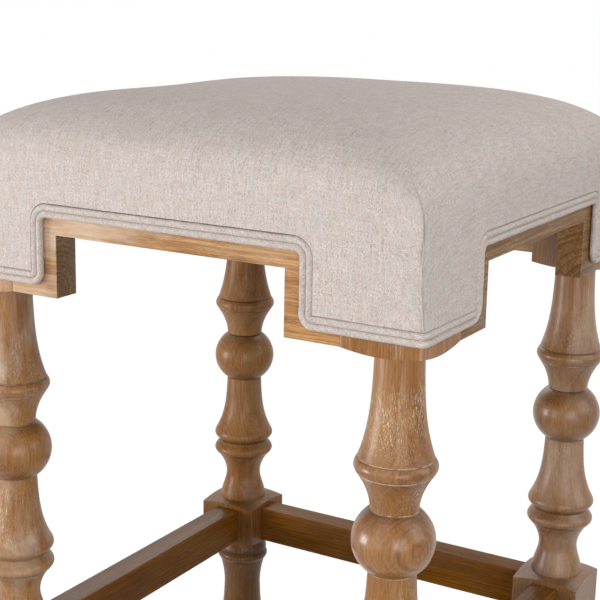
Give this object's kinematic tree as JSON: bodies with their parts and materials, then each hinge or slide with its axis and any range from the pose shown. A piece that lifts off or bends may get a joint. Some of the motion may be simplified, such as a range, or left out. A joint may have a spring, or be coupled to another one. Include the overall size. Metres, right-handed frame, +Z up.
{
  "type": "counter stool",
  "caption": "Square backless counter stool with a crowned fabric seat edged in double welt, stepped aprons, bobbin-turned legs and a box stretcher footrest.",
  "frame": {"origin": "on the floor, under the middle of the seat", "axes": "+Z up; the front faces -Y and +X is to the right of someone who looks at the front; the stool is alike on its four sides"},
  "size_m": [0.4416, 0.4416, 0.66],
  "materials": {
    "wood": "walnut-brown stain with a pale glaze left in the grooves and grain, satin",
    "block_wood": "bare sawn hardwood",
    "dowel_wood": "bare beech",
    "plywood": "bare plywood",
    "seat_fabric": "oatmeal melange plain weave",
    "welt_fabric": "oatmeal melange plain weave, round cords",
    "foam": "open-cell foam",
    "dust_cloth": "black non-woven cloth",
    "screw_steel": "zinc-plated steel",
    "glide_nylon": "brown nylon"
  },
  "bodies": {
    "root": {"front_right_leg": "wood", "front_right_glide": "glide_nylon", "front_right_corner_block": "block_wood", "front_right_leg_screw": "screw_steel", "front_right_seat_screw_1": "screw_steel", "front_right_seat_screw_2": "screw_steel", "back_right_leg": "wood", "back_right_glide": "glide_nylon", "back_right_corner_block": "block_wood", "back_right_leg_screw": "screw_steel", "back_right_seat_screw_1": "screw_steel", "back_right_seat_screw_2": "screw_steel", "back_left_leg": "wood", "back_left_glide": "glide_nylon", "back_left_corner_block": "block_wood", "back_left_leg_screw": "screw_steel", "back_left_seat_screw_1": "screw_steel", "back_left_seat_screw_2": "screw_steel", "front_left_leg": "wood", "front_left_glide": "glide_nylon", "front_left_corner_block": "block_wood", "front_left_leg_screw": "screw_steel", "front_left_seat_screw_1": "screw_steel", "front_left_seat_screw_2": "screw_steel", "front_apron": "wood", "front_stretcher": "wood", "front_apron_dowel_1": "dowel_wood", "front_apron_dowel_2": "dowel_wood", "front_apron_dowel_3": "dowel_wood", "front_apron_dowel_4": "dowel_wood", "right_apron": "wood", "right_stretcher": "wood", "right_apron_dowel_1": "dowel_wood", "right_apron_dowel_2": "dowel_wood", "right_apron_dowel_3": "dowel_wood", "right_apron_dowel_4": "dowel_wood", "back_apron": "wood", "back_stretcher": "wood", "back_apron_dowel_1": "dowel_wood", "back_apron_dowel_2": "dowel_wood", "back_apron_dowel_3": "dowel_wood", "back_apron_dowel_4": "dowel_wood", "left_apron": "wood", "left_stretcher": "wood", "left_apron_dowel_1": "dowel_wood", "left_apron_dowel_2": "dowel_wood", "left_apron_dowel_3": "dowel_wood", "left_apron_dowel_4": "dowel_wood", "seat_board": "plywood", "seat_foam": "foam", "seat_cover": "seat_fabric", "double_welt": "welt_fabric", "dust_cover": "dust_cloth"}
  },
  "joints": []
}
